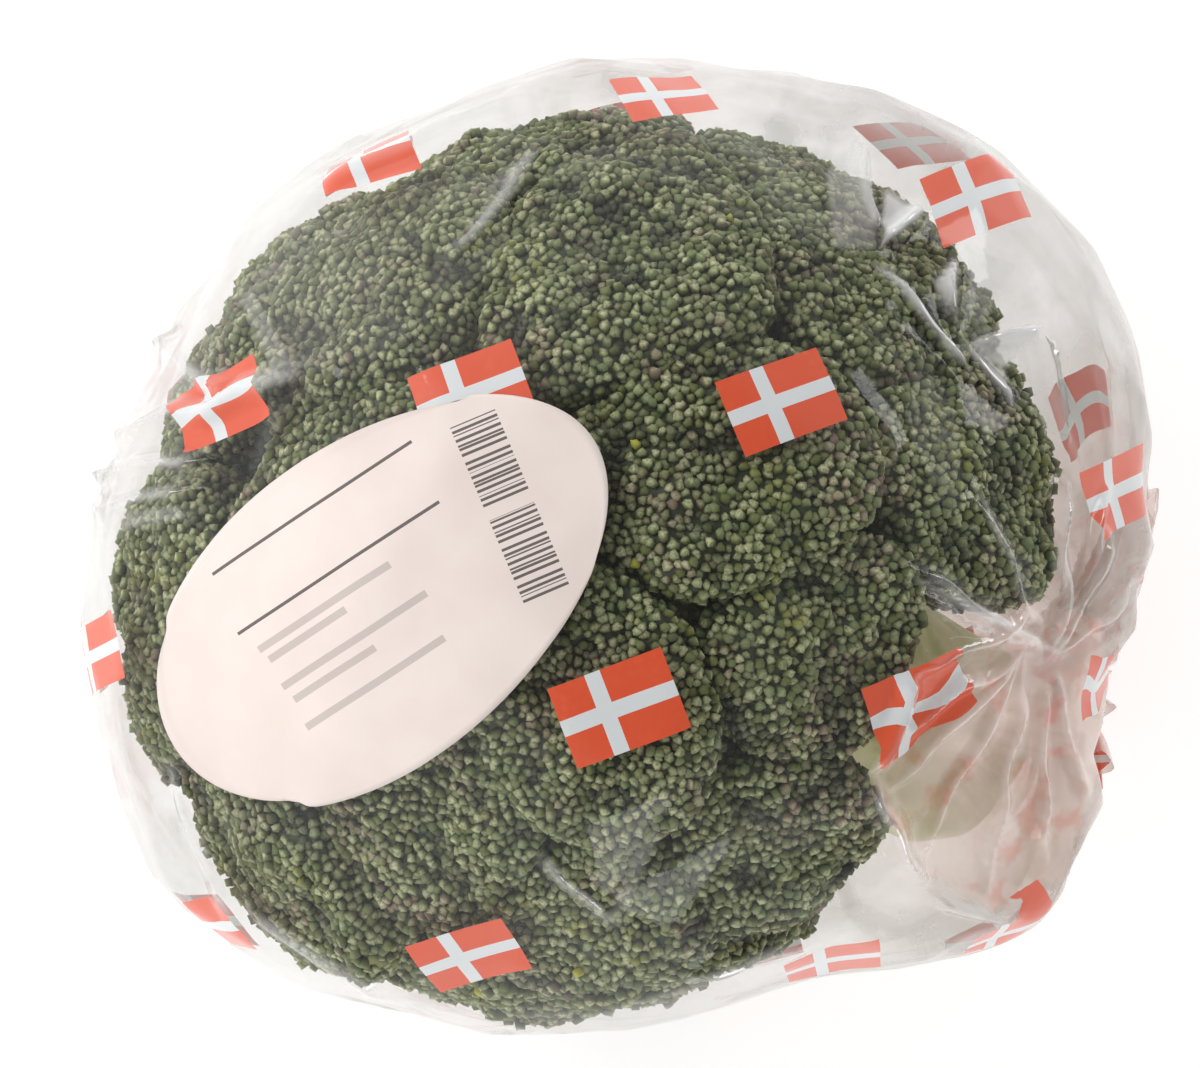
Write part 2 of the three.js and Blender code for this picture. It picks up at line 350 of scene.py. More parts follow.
# ---------------------------------------------------------------------------------------------
# Stalk. The main stem, pale green and faintly ribbed, with the scars of trimmed leaves up its
# sides. It was cut square with a knife, and the cut shows a wet ring round paler pith.

STALK_LEAN = math.radians(50)
STALK_HEADING = math.radians(-27)
STALK_LENGTH = 61 * MM
STALK_RADIUS = 15.5 * MM
STALK_STEPS = 26
RIB_COUNT = 7
SCARS = [(34, 0.5), (42, 2.4), (39, 4.4), (50, 5.6), (53, 3.4), (48, 1.4)]
SKIN_PALE = (0.62, 0.62, 0.34, 1)
SKIN_GREEN = (0.40, 0.45, 0.17, 1)
PITH = (0.74, 0.74, 0.52, 1)
RING = (0.48, 0.54, 0.26, 1)


def make_stalk_material():
    material, tree = new_material("broccoli_stalk")
    place = object_place(tree)
    mottle = noise_at(tree, place, 180.0, 5.0)
    fibre = noise_at(tree, place, 900.0, 2.0)
    skin = blend_colours(tree, rise_between(tree, mottle, 0.35, 0.68), SKIN_PALE, SKIN_GREEN)
    across = attribute(tree, "across")
    ring = maths(tree, "MULTIPLY", rise_between(tree, across, 0.66, 0.74), rise_between(tree, across, 0.9, 0.8))
    cut = blend_colours(tree, ring, PITH, RING)
    cut = blend_colours(tree, maths(tree, "MULTIPLY", rise_between(tree, fibre, 0.55, 0.75), 0.35), cut, SKIN_PALE)
    shade = blend_colours(tree, attribute(tree, "cut"), skin, cut)
    relief = add_node(tree, "ShaderNodeBump", {"Height": fibre, "Strength": 0.3, "Distance": 0.3 * MM})
    finish_material(tree, add_node(tree, "ShaderNodeBsdfPrincipled", {
        "Base Color": shade, "Roughness": 0.42, "Normal": relief.outputs[0]}))
    return material


def make_stalk():
    """Built along +Z from the cut at zero to the hub, then laid along the head's axis."""
    bm = bmesh.new()
    bmesh.ops.create_circle(bm, cap_ends=True, segments=72, radius=STALK_RADIUS)
    face = bm.faces[:][0]
    step = (STALK_LENGTH + HUB_RADIUS * 0.8) / STALK_STEPS
    for _ in range(3):
        bmesh.ops.inset_region(bm, faces=[face], thickness=STALK_RADIUS * 0.2)
    bmesh.ops.reverse_faces(bm, faces=bm.faces)
    rim = [edge for edge in bm.edges if edge.is_boundary]
    for index in range(STALK_STEPS):
        grown = bmesh.ops.extrude_edge_only(bm, edges=rim)["geom"]
        verts = [item for item in grown if isinstance(item, bmesh.types.BMVert)]
        rim = [item for item in grown if isinstance(item, bmesh.types.BMEdge)]
        bmesh.ops.translate(bm, vec=(0, 0, step), verts=verts)
    bmesh.ops.holes_fill(bm, edges=rim)
    cut_layer = bm.verts.layers.float.new("cut")
    across_layer = bm.verts.layers.float.new("across")
    for vert in bm.verts:
        height = vert.co.z
        flat = Vector((vert.co.x, vert.co.y, 0))
        angle = math.atan2(flat.y, flat.x)
        vert[cut_layer] = 1.0 if height < step / 2 else 0.0
        vert[across_layer] = flat.length / STALK_RADIUS
        swell = 1 + 0.1 * soft_step(height, 0, STALK_LENGTH * 0.6)
        swell += 0.22 * soft_step(height, STALK_LENGTH * 0.55, STALK_LENGTH * 0.9)
        swell *= 1 - soft_step(height, STALK_LENGTH, STALK_LENGTH + HUB_RADIUS) ** 2
        ribs = 1 + 0.022 * math.cos(RIB_COUNT * angle + height / (9 * MM))
        ribs += 0.03 * noise.noise(Vector((math.cos(angle), math.sin(angle), height / (18 * MM))) * 1.6)
        vert.co.xy = flat.xy * swell * ribs
        for scar_height, scar_angle in SCARS:
            turn = math.remainder(angle - scar_angle, 2 * math.pi) * STALK_RADIUS
            away = math.hypot(turn, 1.6 * (height - scar_height * MM)) / (5.5 * MM)
            vert.co.xy += flat.normalized().xy * 2.2 * MM * soft_step(away, 1.1, 0.65)
    bmesh.ops.recalc_face_normals(bm, faces=bm.faces)
    heading = Vector((math.cos(STALK_HEADING), math.sin(STALK_HEADING), 0))
    axis = Vector((0, 0, math.cos(STALK_LEAN))) - heading * math.sin(STALK_LEAN)
    bmesh.ops.rotate(bm, verts=bm.verts, matrix=axis.to_track_quat("Z", "Y").to_matrix())
    bmesh.ops.translate(bm, verts=bm.verts, vec=hub - axis * STALK_LENGTH)
    stalk = new_piece("cut_stalk", bm, make_stalk_material())
    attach(stalk, "root")
    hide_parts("stalk")


make_stalk()

# ---------------------------------------------------------------------------------------------
# Film bag. Thin clear film drawn over the crown and gathered past the cut stalk. It lies close on
# the buds on top, stands off them round the sides, and creases wherever it has more width than it
# needs. Small red flags with a pale cross are printed on it in even rows. A few flat patches of it
# are painted near-white as glints, a painted reflection.

FILM_SEED = 7
FILM_LIFT = 1.9 * MM
FILM_SPARE = 0.5 * MM
FILM_POINTS = 640
VEIL_FROM = 4.0
VEIL_FULL = 14.0
FILM_MIDDLE = Vector((0, 0, 60 * MM))
GATHER = Vector((0.891, -0.256, -0.375)).normalized()
PLEATS = 17
PLEAT_RISE = 2.6 * MM
NECK_ANGLE = 0.055
FRILL_FOLDS = 21
FRILL_STEPS = 10
FRILL_REACH = 0.30
TENTS = [((-36, 34), 24, 5.0), ((-12, 58), 20, 4.0), ((-66, 12), 16, 5.0), ((40, 46), 20, 3.0),
         ((58, 24), 14, 4.0), ((-52, -50), 18, 3.0), ((40, -50), 18, 3.0)]
CREASES = [
    ((32, 55), (34.4, 40), 2.4, 1.6), ((34.4, 40), (41, 45), 1.8, 1.8), ((34.9, 36), (46.5, 23), 1.8, 1.3),
    ((44, 30.4), (45, 39), 1.6, 1.4), ((45.5, 27), (57, 29.5), 2.2, 1.8), ((45.5, 27), (52.5, 18.5), 1.8, 1.5),
    ((56.8, 29), (60.2, 15), 2.4, 1.3), ((-10, 54), (-22, 38), 1.2, 2.0), ((-40, 49), (-12, 61), 1.8, 2.4),
    ((-73, 9), (-55, 12), 2.4, 2.0), ((-72, 5), (-57, 7), 2.4, 1.8), ((-69, 15), (-40, 24), 2.2, 2.2),
    ((-66, 30), (-52, 20), 2.0, 2.0), ((-11, -40), (-1, -49), 1.4, 1.6), ((10, -57), (26, -53), 2.0, 2.0),
    ((-50, -48), (-30, -62), 2.0, 2.4), ((-60, -30), (-52, -50), 2.0, 2.2),
    ((58, -14), (39, -3), 2.4, 1.6), ((58, -14), (40, -7), 2.0, 1.4), ((58, -14), (59, 8), 2.4, 1.8),
    ((58, -14), (66, 2), 2.2, 1.8), ((58, -14), (70, -6), 2.0, 1.6), ((56, -8), (39, -16), 2.4, 2.0),
    ((39, -16), (33, -30), 2.6, 2.0), ((33, -30), (41, -46), 2.6, 2.0), ((41, -46), (55, -50), 2.4, 2.0),
    ((55, -13), (37, -25), 1.5, 1.2), ((54, -14), (36, -33), 1.6, 1.3), ((54, -15), (41, -41), 1.4, 1.1),
    ((55, -16), (50, -46), 1.6, 1.3), ((57, -17), (58, -43), 1.5, 1.2), ((58, -17), (64, -34), 1.6, 1.3),
    ((57, -12), (47, 6), 1.4, 1.2), ((60, -12), (66, 8), 1.4, 1.1),
]
# Patches of the film, given in plan with a strength each, that get a painted reflection: milky white glints where
# crumpled film would mirror a light.
PAINTED_GLINTS = [
    (((41, 45), (36, 48.5), (35, 40)), 0.8), (((28, 50.5), (32, 55), (34.5, 40), (29, 40)), 0.26),
    (((45, 38.6), (42.6, 35.7), (44, 30.4)), 0.75), (((45.5, 26.7), (57, 30), (52, 24)), 0.8),
    (((45.5, 26.7), (52, 24), (52.8, 18.3)), 0.65), (((53, 28.3), (56, 28.5), (60.5, 15), (57.5, 15)), 0.3),
    (((47, 41), (54, 38), (48, 28)), 0.26), (((34, 38), (36.8, 36), (46.8, 23.5), (44, 25.5)), 0.7),
    (((-51, 35.6), (-27.5, 49.4), (-13.6, 50.8), (-16.4, 37.2), (-33, 24.7), (-44.2, 23)), 0.05),
    (((-51.8, 34.2), (-49.4, 34.7), (-43.5, 24.4), (-46.3, 23.3)), 0.2),
    (((-63, 23.3), (-44.2, 25), (-45.6, 22.4), (-62.2, 20.3)), 0.16),
    (((-72.6, 10.6), (-56, 11.7), (-50, 14), (-54, 9.2), (-72, 6.4)), 0.3),
    (((-72, 4), (-60, 5.5), (-58, 4), (-71, 1.5)), 0.25), (((2, -40), (6, -36), (1, -49), (-2, -50)), 0.2),
    (((39, -4), (44, -8), (60, -15), (54, -11)), 0.5), (((42, -3), (47, -5), (60, -13), (56, -8)), 0.4),
]
FLAP = ((56, -7), (40, -19), (33.2, -30.4), (40, -43.6), (51, -50), (61, -46), (68, -26), (66, -10))
PRINT_SCALE = 0.3
PRINT_EDGE = 101.0
PRINT_ACROSS = Vector((46.5, -1.5))
PRINT_UP = Vector((24.2, 44.2))
PRINT_START = Vector((0, -22.5))
FLAG_SIZE = Vector((17.0, 12.0))
FLAG_TURN = math.radians(21)
PRINT_PULLS = [((88.6, 11.5), (16.7, -10.4)), ((60.8, 59.8), (11.8, -7.3)), ((8.2, 84.3), (6.4, 15.0)),
               ((39.1, -75.4), (16.8, -8.1))]
FILM_MILK = (0.60, 0.58, 0.56, 1)
FILM_BUNCHED = (0.86, 0.67, 0.59, 1)
FLAG_RED = (0.84, 0.088, 0.020, 1)
FLAG_PALE = (0.81, 0.84, 0.86, 1)


bag_skin = BVHTree.FromBMesh(nodes_bmesh(["film_wrap"]))
head_surface = BVHTree.FromBMesh(nodes_bmesh(floret_nodes + ["stalk"]))


def film_reach(way):
    """How far the film is from the bag's middle: close on the crown on top, looser to the sides."""
    tight = reach_of(tight_skin, FILM_MIDDLE, way) + FILM_LIFT
    bag = reach_of(bag_skin, FILM_MIDDLE, way) + FILM_SPARE
    slack = soft_step(way.z, 0.62, 0.12)
    place = FILM_MIDDLE + way * tight
    lift = 0
    if way.z > 0:
        for (x, y), radius, rise in TENTS:
            away = math.hypot(place.x / MM - x, place.y / MM - y) / radius
            lift = max(lift, rise * MM * soft_step(away, 1, 0))
    return min(tight + lift + max(bag - tight, 0) * slack, bag)


def crease_rise(place):
    """Height of the folds over a point of the upper film, and how near it is to a fold's edge."""
    rise, edge = 0.0, 0.0
    wander = noise.noise_vector(place / (9 * MM)) * 1.6
    for (ax, ay), (bx, by), height, width in CREASES:
        run = Vector((bx - ax, by - ay))
        spot = Vector((place.x / MM - ax + wander.x, place.y / MM - ay + wander.y))
        along = min(max(spot.dot(run) / run.length_squared, 0), 1)
        away = (spot - run * along).length / width
        if away < 1:
            fade = min(1, 4 * along + 0.35, 4 * (1 - along) + 0.35)
            rise = max(rise, height * MM * (1 - away) * fade)
            edge = max(edge, (1 - away) * fade)
    return rise, edge


def share_inside(place, corners):
    """1 inside an outline given in plan, 0 outside, with a thin soft edge."""
    spot = place.xy / MM
    turn = math.copysign(1, (Vector(corners[1]) - Vector(corners[0])).cross(Vector(corners[2]) - Vector(corners[1])))
    inside = 9.0
    for start, end in zip(corners, corners[1:] + corners[:1]):
        run = (Vector(end) - Vector(start)).normalized()
        inside = min(inside, turn * run.cross(spot - Vector(start)))
    return soft_step(inside, -0.35, 0.45)


gather_side = GATHER.cross(Vector((0, 0, 1))).normalized()
gather_up = gather_side.cross(GATHER)


def gather_rise(way):
    """The pleats that run out from the gather, and the hollow that they are drawn into."""
    angle = way.angle(GATHER)
    if angle > 0.95:
        return 0.0, 0.0
    turn = math.atan2(way.dot(gather_up), way.dot(gather_side)) / (2 * math.pi)
    wander = noise.noise(Vector((math.cos(turn * 6.28), math.sin(turn * 6.28), angle * 2)) * 1.5)
    wave = abs(math.remainder(turn * PLEATS + wander * 0.8, 1)) * 2
    fold = (1 - wave) * soft_step(angle, 0.03, 0.14) * soft_step(angle, 0.95, 0.25)
    hollow = 8 * MM * math.exp(-(angle / 0.4) ** 2)
    return PLEAT_RISE * fold - hollow, fold


def print_pull(flat):
    """How far the print has moved where the film was pulled hard round the side of the head."""
    pull = Vector((0, 0))
    for centre, shift in PRINT_PULLS:
        away = (flat / MM - Vector(centre)).length
        pull += Vector(shift) * MM * soft_step(away, 34, 12)
    return pull


def film_ways():
    """Directions of the film's corners, nearer together where it creases more."""
    random.seed(FILM_SEED)
    ways = []
    while len(ways) < FILM_POINTS:
        way = Vector((random.gauss(0, 1), random.gauss(0, 1), random.gauss(0, 1))).normalized()
        room = 0.16 if way.z > 0.7 else 0.105
        if way.angle(GATHER) < 0.6:
            room = 0.07
        if all(way.dot(other) < math.cos(room) for other in ways):
            ways.append(way)
    return ways


def is_folded(place):
    return crease_rise(place)[1] > 0 or any(share_inside(place, corners) > 0 for corners, _ in PAINTED_GLINTS)


def add_frill(bm, fold_layer, bunch_layer, print_layer):
    """The free end of the film past its gather: it opens like a fan and is pressed back on the bag."""
    columns = FRILL_FOLDS * 12
    rings = []
    for step in range(FRILL_STEPS + 1):
        share = step / FRILL_STEPS
        ring = []
        for column in range(columns):
            turn = 2 * math.pi * column / columns
            out = gather_side * math.cos(turn) + gather_up * math.sin(turn)
            spread = FRILL_REACH * (1 + 0.35 * noise.noise(out * 1.3) - 0.25 * out.dot(gather_up))
            ruffle = math.sin(FRILL_FOLDS * turn + 5 * noise.noise(out * 2.5))
            ruffle *= 0.95 + 0.6 * noise.noise(out * 3.5)
            swirl = gather_side * -math.sin(turn) + gather_up * math.cos(turn)
            angle = NECK_ANGLE * 0.8 + spread * share ** 1.1
            way = GATHER * math.cos(angle) + out * math.sin(angle) + swirl * 0.03 * share * ruffle
            way.normalize()
            hill = (0.8 + 1.6 * share * (1 + ruffle) + 2.0 * math.sin(math.pi * share)) * MM
            place = FILM_MIDDLE + way * (film_reach(way) + gather_rise(way)[0] + hill)
            place.z = max(place.z, 0.4 * MM)
            vert = bm.verts.new(place)
            vert[fold_layer] = 0.4 + 0.5 * share * max(ruffle, 0)
            vert[bunch_layer] = 1.0
            ring.append((vert, Vector((math.cos(turn), math.sin(turn))) * (8 + 30 * share) * MM / PRINT_SCALE))
        rings.append(ring)
    for low, high in zip(rings, rings[1:]):
        for column in range(columns):
            after = (column + 1) % columns
            corners = [low[column], low[after], high[after], high[column]]
            face = bm.faces.new([vert for vert, _ in corners])
            for loop, (_, flat) in zip(face.loops, corners):
                loop[print_layer].uv = flat


def make_film():
    bm = bmesh.new()
    for way in film_ways():
        bm.verts.new(way)
    bmesh.ops.convex_hull(bm, input=bm.verts)
    bmesh.ops.recalc_face_normals(bm, faces=bm.faces)
    for vert in bm.verts:
        way = vert.co.normalized()
        slack = soft_step(way.z, 0.7, 0.2)
        vert.co = FILM_MIDDLE + way * (film_reach(way) - random.uniform(0, 1.8) * MM * slack)
    bmesh.ops.subdivide_edges(bm, edges=bm.edges, cuts=7, use_grid_fill=True)
    relax(bm, 2)
    folded = {vert for vert in bm.verts if vert.co.z > FILM_MIDDLE.z and is_folded(vert.co)}
    near = [edge for edge in bm.edges if edge.verts[0] in folded or edge.verts[1] in folded]
    bmesh.ops.subdivide_edges(bm, edges=near, cuts=1, use_grid_fill=True)
    bmesh.ops.triangulate(bm, faces=bm.faces)
    neck = [face for face in bm.faces
            if (face.calc_center_median() - FILM_MIDDLE).angle(GATHER) < NECK_ANGLE]
    bmesh.ops.delete(bm, geom=neck, context="FACES")
    loose_layer = bm.verts.layers.float.new("loose")
    fold_layer = bm.verts.layers.float.new("fold")
    bunch_layer = bm.verts.layers.float.new("bunch")
    painted_glint_layer = bm.verts.layers.float.new("painted_glint")
    for vert in bm.verts:
        way = (vert.co - FILM_MIDDLE).normalized()
        rise, fold = gather_rise(way)
        if way.z > -0.2:
            crease, edge = crease_rise(vert.co)
            rise += crease
            fold = max(fold * (0.6 + 0.3 * share_inside(vert.co, FLAP)), edge)
            # Painted reflection: how far this corner lies in a glint patch, times the patch's strength.
            vert[painted_glint_layer] = max(share_inside(vert.co, corners) * share for corners, share in PAINTED_GLINTS)
        vert.co += way * rise
        vert.co.z = max(vert.co.z, 0.05 * MM)
        vert[fold_layer] = fold
        vert[loose_layer] = head_surface.find_nearest(vert.co)[3] / MM
        vert[bunch_layer] = max(soft_step(way.angle(GATHER) + 0.12 * noise.noise(way * 5), 0.82, 0.4),
                                share_inside(vert.co, FLAP) * soft_step(way.z, -0.1, 0.1))
    print_layer = bm.loops.layers.uv.new("print")
    for face in bm.faces:
        upper = face.calc_center_median().z > FILM_MIDDLE.z
        for loop in face.loops:
            way = (loop.vert.co - FILM_MIDDLE).normalized()
            fall = math.acos(way.z if upper else -way.z)
            flat = way.xy.normalized() * fall * 0.07
            if upper:
                flat -= print_pull(flat)
            flat += noise.noise_vector(way * 7).xy * 7 * MM * loop.vert[bunch_layer]
            loop[print_layer].uv = flat / PRINT_SCALE
    add_frill(bm, fold_layer, bunch_layer, print_layer)
    film = new_piece("film_bag", bm, make_film_material())
    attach(film, "root")
    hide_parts("film_wrap")
    return film


def within(tree, value, limit):
    return maths(tree, "LESS_THAN", maths(tree, "ABSOLUTE", value), limit)


def turned_place(tree, x, y, turn):
    """Coordinates x and y seen from axes turned by an angle."""
    c, s = math.cos(turn), math.sin(turn)
    along = maths(tree, "ADD", maths(tree, "MULTIPLY", x, c), maths(tree, "MULTIPLY", y, s))
    up = maths(tree, "ADD", maths(tree, "MULTIPLY", x, -s), maths(tree, "MULTIPLY", y, c))
    return along, up


def weighted(tree, x, x_share, y, y_share):
    return maths(tree, "ADD", maths(tree, "MULTIPLY", x, x_share), maths(tree, "MULTIPLY", y, y_share))


def flag_print(tree):
    """Where the flags are printed, and the ink's colour there."""
    flat = add_node(tree, "ShaderNodeSeparateXYZ", {0: add_node(tree, "ShaderNodeUVMap", uv_map="print").outputs[0]})
    x = maths(tree, "MULTIPLY_ADD", flat.outputs[0], PRINT_SCALE / MM, -PRINT_START.x)
    y = maths(tree, "MULTIPLY_ADD", flat.outputs[1], PRINT_SCALE / MM, -PRINT_START.y)
    area = PRINT_ACROSS.x * PRINT_UP.y - PRINT_ACROSS.y * PRINT_UP.x
    column = maths(tree, "ROUND", weighted(tree, x, PRINT_UP.y / area, y, -PRINT_UP.x / area))
    row = maths(tree, "ROUND", weighted(tree, x, -PRINT_ACROSS.y / area, y, PRINT_ACROSS.x / area))
    centre_x = weighted(tree, column, PRINT_ACROSS.x, row, PRINT_UP.x)
    centre_y = weighted(tree, column, PRINT_ACROSS.y, row, PRINT_UP.y)
    along, up = turned_place(tree, maths(tree, "SUBTRACT", x, centre_x), maths(tree, "SUBTRACT", y, centre_y), FLAG_TURN)
    flag = maths(tree, "MULTIPLY", within(tree, along, FLAG_SIZE.x / 2), within(tree, up, FLAG_SIZE.y / 2))
    centre = add_node(tree, "ShaderNodeCombineXYZ", {0: centre_x, 1: maths(tree, "ADD", centre_y, PRINT_START.y)})
    away = add_node(tree, "ShaderNodeVectorMath", {0: centre.outputs[0]}, operation="LENGTH").outputs["Value"]
    flag = maths(tree, "MULTIPLY", flag, maths(tree, "LESS_THAN", away, PRINT_EDGE))
    cross = maths(tree, "MAXIMUM", within(tree, maths(tree, "ADD", along, 1.8), 1.15), within(tree, up, 1.15))
    return flag, blend_colours(tree, cross, FLAG_RED, FLAG_PALE)


def make_film_material():
    material, tree = new_material("clear_printed_film")
    place = object_place(tree)
    flag, ink = flag_print(tree)
    clouds = noise_at(tree, place, 45.0, 4.0)
    veil = maths(tree, "MULTIPLY", rise_between(tree, attribute(tree, "loose"), VEIL_FROM, VEIL_FULL),
                 rise_between(tree, clouds, 0.1, 0.8))
    bunch = attribute(tree, "bunch")
    # Painted reflection: the glint patches, broken up by the clouds.
    painted_glint = maths(tree, "MULTIPLY", attribute(tree, "painted_glint"), rise_between(tree, clouds, 0.0, 0.55))
    creased = rise_between(tree, attribute(tree, "fold"), 0.45, 1.0)
    flat = add_node(tree, "ShaderNodeUVMap", uv_map="print").outputs[0]
    radius = add_node(tree, "ShaderNodeVectorMath", {0: flat}, operation="LENGTH").outputs["Value"]
    spoke = add_node(tree, "ShaderNodeVectorMath", {0: flat}, operation="NORMALIZE").outputs[0]
    spoke = add_node(tree, "ShaderNodeVectorMath", {0: spoke, 1: place, 2: (0, 0, 0)}, operation="ADD").outputs[0]
    wave = add_node(tree, "ShaderNodeTexNoise", {"Vector": spoke, "W": radius, "Scale": 9.0, "Detail": 3.0},
                    noise_dimensions="4D").outputs["Fac"]
    streaks = maths(tree, "MULTIPLY", veil, rise_between(tree, wave, 0.5, 0.66))
    haze = maths(tree, "MULTIPLY_ADD", veil, 0.38, 0.006)
    haze = maths(tree, "MULTIPLY_ADD", streaks, 0.34, haze)
    haze = maths(tree, "MULTIPLY_ADD", creased, 0.28, haze)
    # The painted glints add to the film's haze.
    haze = maths(tree, "ADD", painted_glint, haze)
    haze = maths(tree, "MULTIPLY_ADD", maths(tree, "MULTIPLY", bunch, rise_between(tree, clouds, -0.2, 0.7)), 0.4, haze)
    cover = maths(tree, "MAXIMUM", haze, maths(tree, "MULTIPLY", flag, 0.94))
    milk = blend_colours(tree, bunch, FILM_MILK, FILM_BUNCHED)
    # Painted reflection: the glint patches are coloured near-white.
    milk = blend_colours(tree, painted_glint, milk, (0.9, 0.9, 0.9, 1))
    layers = maths(tree, "MULTIPLY", rise_between(tree, noise_at(tree, place, 150.0, 3.0), 0.54, 0.68), 0.45)
    milk = blend_colours(tree, maths(tree, "MULTIPLY", layers, bunch), milk, FLAG_RED)
    paint = blend_colours(tree, flag, milk, ink)
    facing = add_node(tree, "ShaderNodeLayerWeight", {"Blend": 0.5}).outputs["Facing"]
    slant = maths(tree, "MULTIPLY_ADD", maths(tree, "POWER", facing, 3.0), 0.6, maths(tree, "MULTIPLY", veil, 0.4))
    clear = add_node(tree, "ShaderNodeBsdfTransparent", {
        "Color": blend_colours(tree, slant, (0.955, 0.95, 0.945, 1), (0.80, 0.78, 0.76, 1))})
    front = add_node(tree, "ShaderNodeBsdfPrincipled", {"Base Color": paint, "Roughness": 0.45})
    through = add_node(tree, "ShaderNodeBsdfTranslucent", {"Color": paint})
    milky = add_node(tree, "ShaderNodeMixShader", {0: 0.15, 1: front.outputs[0], 2: through.outputs[0]})
    body = add_node(tree, "ShaderNodeMixShader", {0: cover, 1: clear.outputs[0], 2: milky.outputs[0]})
    ripple = noise_at(tree, place, 260.0, 2.0)
    relief = add_node(tree, "ShaderNodeBump", {"Height": ripple, "Strength": 0.2, "Distance": 0.4 * MM})
    gloss = add_node(tree, "ShaderNodeBsdfGlossy", {"Color": (1, 1, 1, 1), "Roughness": 0.07,
                                                    "Normal": relief.outputs[0]})
    mirror = maths(tree, "MULTIPLY_ADD", maths(tree, "POWER", facing, 4.0), 0.6, 0.025)
    mirror = maths(tree, "MULTIPLY_ADD", creased, 0.12, mirror)
    finish_material(tree, add_node(tree, "ShaderNodeMixShader", {
        0: mirror, 1: body.outputs[0], 2: gloss.outputs[0]}))
    return material


film = make_film()

# ---------------------------------------------------------------------------------------------
# Label. Thin uncoated paper, egg-shaped and cream pink, stuck on the film. Its print is plain: two
# ruled lines, short grey lines and a stack of bars, with no letters or figures.

LABEL_CENTRE = Vector((-31.4, -6.7)) * MM
LABEL_HALF = Vector((35, 21)) * MM
LABEL_TURN = math.radians(38)
LABEL_POINT = 0.08
LABEL_LIFT = 0.6 * MM
LABEL_THICKNESS = 0.12 * MM
PRINT_TURN = math.radians(33)
LABEL_PAPER = (0.825, 0.725, 0.675, 1)
LABEL_SHADE = (0.79, 0.675, 0.625, 1)
LABEL_INK = (0.06, 0.045, 0.04, 1)
LABEL_GREY = (0.40, 0.34, 0.32, 1)
RULES = [((-9.2, 11.7), 16.1, 0.22), ((-5.6, 3.8), 16.1, 0.22)]
TEXT_LINES = [((-7.4, -1.3), 10.5), ((-9.6, -4.9), 6.2), ((-3.4, -5.6), 11.5), ((-6.0, -10.0), 6.5),
              ((-0.6, -11.2), 11.0)]
BARS_CENTRE = Vector((17.1, 11.9))
BARS_TURN = math.radians(23)
BARS_HALF = Vector((3.2, 12.5))


def make_label_material():
    material, tree = new_material("label_paper")
    place = object_place(tree)
    flat = add_node(tree, "ShaderNodeSeparateXYZ", {0: add_node(tree, "ShaderNodeUVMap", uv_map="label").outputs[0]})
    x = maths(tree, "MULTIPLY_ADD", flat.outputs[0], 100.0, -50.0)
    y = maths(tree, "MULTIPLY_ADD", flat.outputs[1], 100.0, -50.0)
    fibres = noise_at(tree, place, 1400.0, 4.0)
    blotch = noise_at(tree, place, 120.0, 3.0)
    shade = blend_colours(tree, rise_between(tree, blotch, 0.3, 0.8), LABEL_PAPER, LABEL_SHADE)

    def strokes(rows):
        ink = None
        for (row_x, row_y), half, thick in rows:
            along, up = turned_place(tree, maths(tree, "SUBTRACT", x, row_x), maths(tree, "SUBTRACT", y, row_y),
                                     PRINT_TURN)
            row = maths(tree, "MULTIPLY", within(tree, along, half), within(tree, up, thick))
            ink = row if ink is None else maths(tree, "MAXIMUM", ink, row)
        return ink

    shade = blend_colours(tree, maths(tree, "MULTIPLY", strokes([(c, half, 0.5) for c, half in TEXT_LINES]), 0.6),
                          shade, LABEL_GREY)
    across, stack = turned_place(tree, maths(tree, "SUBTRACT", x, BARS_CENTRE.x),
                                 maths(tree, "SUBTRACT", y, BARS_CENTRE.y), BARS_TURN)
    waves = maths(tree, "ADD", maths(tree, "SINE", maths(tree, "MULTIPLY", stack, 6.1)),
                  maths(tree, "SINE", maths(tree, "MULTIPLY", stack, 9.7)))
    bars = maths(tree, "MULTIPLY", maths(tree, "GREATER_THAN", waves, 0.1), within(tree, stack, BARS_HALF.y))
    bars = maths(tree, "MULTIPLY", bars, within(tree, across, BARS_HALF.x))
    bars = maths(tree, "MULTIPLY", bars, maths(tree, "GREATER_THAN", maths(tree, "ABSOLUTE", stack), 0.7))
    dark = maths(tree, "MAXIMUM", strokes(RULES), bars)
    shade = blend_colours(tree, maths(tree, "MULTIPLY", dark, 0.9), shade, LABEL_INK)
    relief = add_node(tree, "ShaderNodeBump", {"Height": fibres, "Strength": 0.15, "Distance": 0.1 * MM})
    finish_material(tree, add_node(tree, "ShaderNodeBsdfPrincipled", {
        "Base Color": shade, "Roughness": 0.7, "Normal": relief.outputs[0]}))
    return material


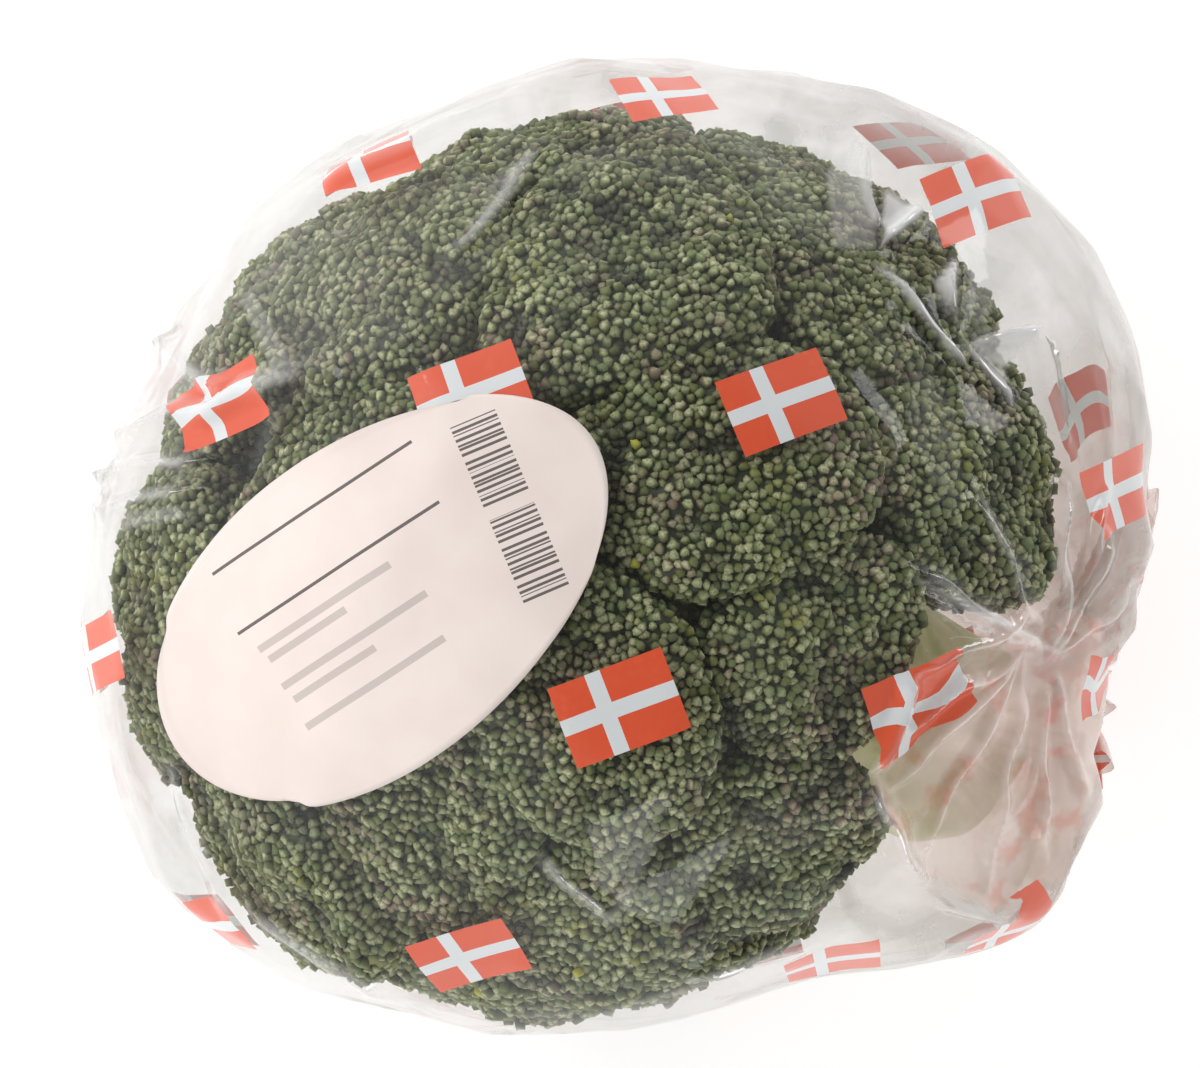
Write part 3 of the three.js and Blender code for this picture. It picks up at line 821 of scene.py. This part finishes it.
def make_label():
    film_surface = BVHTree.FromPolygons([v.co for v in film.data.vertices],
                                        [p.vertices for p in film.data.polygons])
    bm = bmesh.new()
    bmesh.ops.create_grid(bm, x_segments=60, y_segments=40, size=1)
    label_layer = bm.loops.layers.uv.new("label")
    for vert in bm.verts:
        u, v = vert.co.x, vert.co.y
        round_x = u * math.sqrt(1 - v * v / 2)
        round_y = v * math.sqrt(1 - u * u / 2)
        egg = Vector((round_x * LABEL_HALF.x, round_y * LABEL_HALF.y * (1 - LABEL_POINT * round_x)))
        vert.co.xy = egg @ Matrix.Rotation(-LABEL_TURN, 2)
    for face in bm.faces:
        for loop in face.loops:
            loop[label_layer].uv = loop.vert.co.xy / 0.1 + Vector((0.5, 0.5))
    for vert in bm.verts:
        vert.co.xy += LABEL_CENTRE
        top = film_surface.ray_cast(Vector((vert.co.x, vert.co.y, 0.3)), Vector((0, 0, -1)))[0]
        vert.co.z = top.z
    for _ in range(6):
        bmesh.ops.smooth_vert(bm, verts=bm.verts, factor=0.5, use_axis_z=True)
    bm.normal_update()
    for vert in bm.verts:
        vert.co += vert.normal * LABEL_LIFT
    label = new_piece("egg_label", bm, make_label_material())
    solid = label.modifiers.new("paper", "SOLIDIFY")
    solid.thickness = LABEL_THICKNESS
    solid.offset = 1
    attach(label, "root")
    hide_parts("paper_label")


make_label()

# ---------------------------------------------------------------------------------------------
# Studio: a pale floor, soft lights low round the bag and open white light from above, and a long
# lens that looks straight down.


def make_floor():
    bm = bmesh.new()
    bmesh.ops.create_grid(bm, x_segments=2, y_segments=2, size=2)
    material, tree = new_material("pale_floor")
    finish_material(tree, add_node(tree, "ShaderNodeBsdfPrincipled", {
        "Base Color": (0.93, 0.93, 0.93, 1), "Roughness": 0.9, "Specular IOR Level": 0.1,
        "Emission Color": (1, 1, 1, 1), "Emission Strength": 0.45}))
    new_piece("floor", bm, material)


def add_light(name, heading, height, away, size, power):
    """A square soft box that looks at the middle of the bag."""
    light = bpy.data.lights.new(name, "AREA")
    light.size = size
    light.energy = power
    lamp = bpy.data.objects.new(name, light)
    way = Vector((math.cos(math.radians(heading)), math.sin(math.radians(heading)), math.tan(math.radians(height))))
    lamp.location = FILM_MIDDLE + way.normalized() * away
    lamp.rotation_euler = way.to_track_quat("Z", "Y").to_euler()
    bpy.context.collection.objects.link(lamp)


make_floor()
add_light("key_box", 150, 45, 1.0, 0.35, 2.4)
add_light("right_box", 30, 14, 1.0, 0.3, 1.4)
add_light("front_box", -80, 16, 1.0, 0.3, 0.9)
world = bpy.data.worlds.new("studio")
world.use_nodes = True
tree = world.node_tree
tree.nodes.clear()
way = add_node(tree, "ShaderNodeSeparateXYZ", {0: add_node(tree, "ShaderNodeTexCoord").outputs["Generated"]})
glow = add_node(tree, "ShaderNodeMapRange", {
    "Value": way.outputs[2], "From Min": 0.92, "From Max": 0.5, "To Min": 0.3, "To Max": 1.1},
    interpolation_type="SMOOTHSTEP").outputs["Result"]
glow = maths(tree, "MULTIPLY", glow, maths(tree, "MULTIPLY_ADD", way.outputs[0], -0.55, 0.95))
back = add_node(tree, "ShaderNodeBackground", {"Color": (1, 1, 1, 1), "Strength": glow})
add_node(tree, "ShaderNodeOutputWorld", {"Surface": back.outputs[0]})
bpy.context.scene.world = world
bpy.context.scene.view_settings.view_transform = "Standard"
bpy.context.scene.cycles.transparent_max_bounces = 24

camera_lens = bpy.data.cameras.new("camera")
camera_lens.lens = 259
camera_lens.sensor_width = 36
camera = bpy.data.objects.new("camera", camera_lens)
camera.location = (-2.5 * MM, 1.7 * MM, 1.26)
bpy.context.collection.objects.link(camera)
bpy.context.scene.camera = camera
